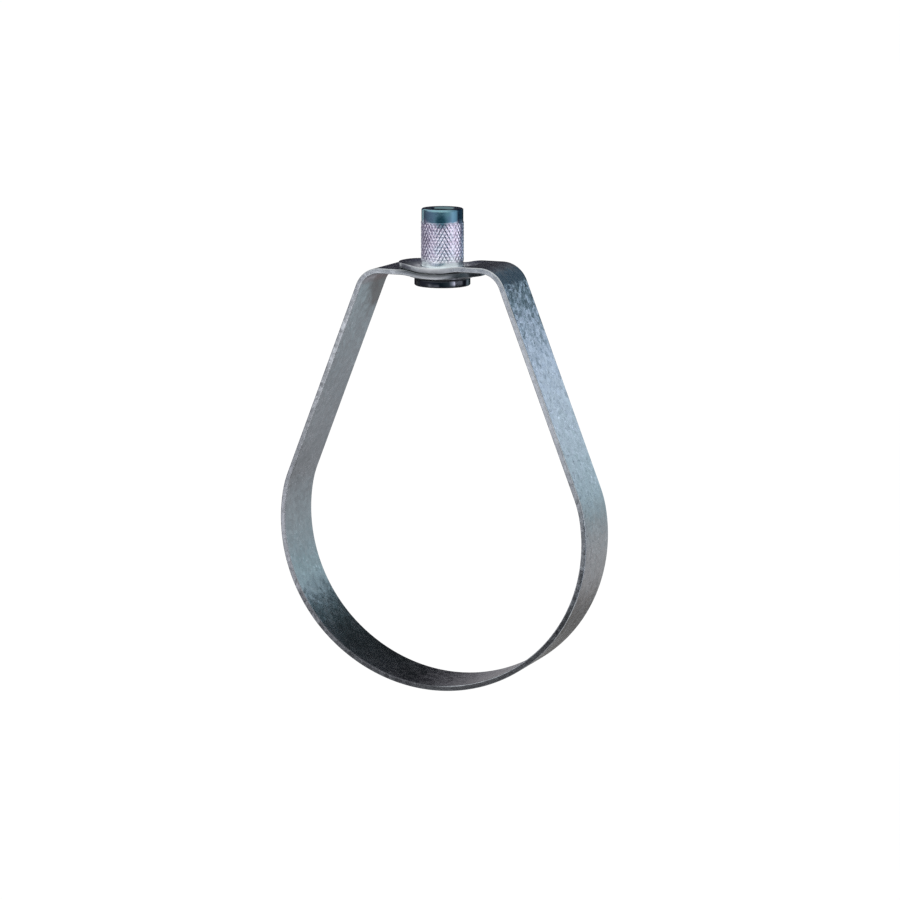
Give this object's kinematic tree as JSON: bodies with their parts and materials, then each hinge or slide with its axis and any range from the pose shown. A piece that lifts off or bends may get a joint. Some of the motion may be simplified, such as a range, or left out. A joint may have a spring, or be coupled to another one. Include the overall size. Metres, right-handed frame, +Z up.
{
  "type": "swivel ring hanger",
  "caption": "Galvanised steel strip folded into a teardrop pipe ring, hung from a knurled swivel nut tapped for a threaded rod.",
  "frame": {"origin": "centre of the pipe ring's lower arc, on the pipe's axis and midway across the strip", "axes": "+Z up along the threaded rod and the nut, +Y along the pipe, +X across the ring towards the leg that ends as the upper layer"},
  "size_m": [0.125, 0.0222, 0.1809],
  "materials": {
    "galvanised_strip": "bright galvanised strip, fine spangle, sheared edges",
    "zinc_plated_nut": "bright zinc plate with a faint blue and lilac tint, diamond knurl"
  },
  "bodies": {
    "swivel_nut": {"swivel_nut": "zinc_plated_nut"},
    "band": {"band": "galvanised_strip"}
  },
  "joints": [
    {"name": "band_swivel", "type": "hinge", "parent": "swivel_nut", "child": "band", "pos_m": [0, 0, 0.0912], "axis": [0, 0, 1], "continuous": true}
  ]
}
